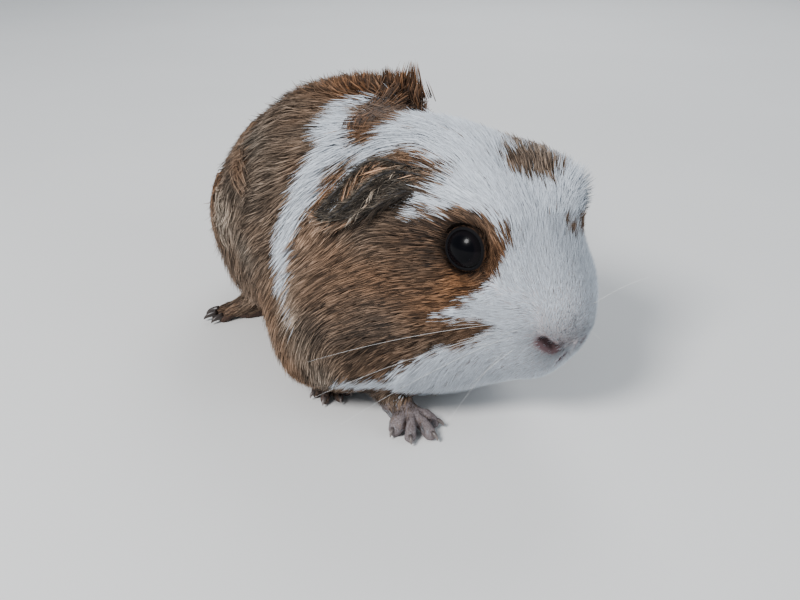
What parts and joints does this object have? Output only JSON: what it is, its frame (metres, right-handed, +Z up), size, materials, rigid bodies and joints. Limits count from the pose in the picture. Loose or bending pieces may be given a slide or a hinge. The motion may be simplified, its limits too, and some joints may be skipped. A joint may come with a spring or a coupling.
{
  "type": "guinea pig",
  "caption": "Still, life-size model of a young rough-coated guinea pig crouching on its feet, with its head turned to its left.",
  "frame": {"origin": "middle of the bounding box, on the plane that the feet stand on", "axes": "the animal faces -Y, its left side is towards +X, and +Z is up"},
  "size_m": [0.1102, 0.1648, 0.086],
  "materials": {
    "brown_coat": "medium-long rough coat, ginger brown",
    "white_coat": "short to medium coat, white",
    "ear_skin": "thin bare skin, dark grey",
    "foot_skin": "bare skin, greyish pink",
    "eye": "wet black",
    "claw_pale": "horn, pale",
    "claw_dark": "horn, nearly black"
  },
  "bodies": {
    "root": {"breast": "white_coat", "claw_fore_left_1": "claw_pale", "claw_fore_left_2": "claw_pale", "claw_fore_left_3": "claw_pale", "claw_fore_left_4": "claw_pale", "claw_fore_right_1": "claw_pale", "claw_fore_right_2": "claw_pale", "claw_fore_right_3": "claw_pale", "claw_fore_right_4": "claw_pale", "claw_hind_left_1": "claw_dark", "claw_hind_left_2": "claw_dark", "claw_hind_left_3": "claw_dark", "claw_hind_right_1": "claw_dark", "claw_hind_right_2": "claw_dark", "claw_hind_right_3": "claw_dark", "ear_left": "ear_skin", "ear_right": "ear_skin", "eye_left": "eye", "eye_right": "eye", "foot_fore_left": "foot_skin", "foot_fore_right": "foot_skin", "foot_hind_left": "foot_skin", "foot_hind_right": "foot_skin", "foreleg_left": "brown_coat", "foreleg_right": "brown_coat", "head": "white_coat", "hindleg_left": "brown_coat", "hindleg_right": "brown_coat", "neck": "white_coat", "rump": "brown_coat", "trunk": "brown_coat"}
  },
  "joints": []
}
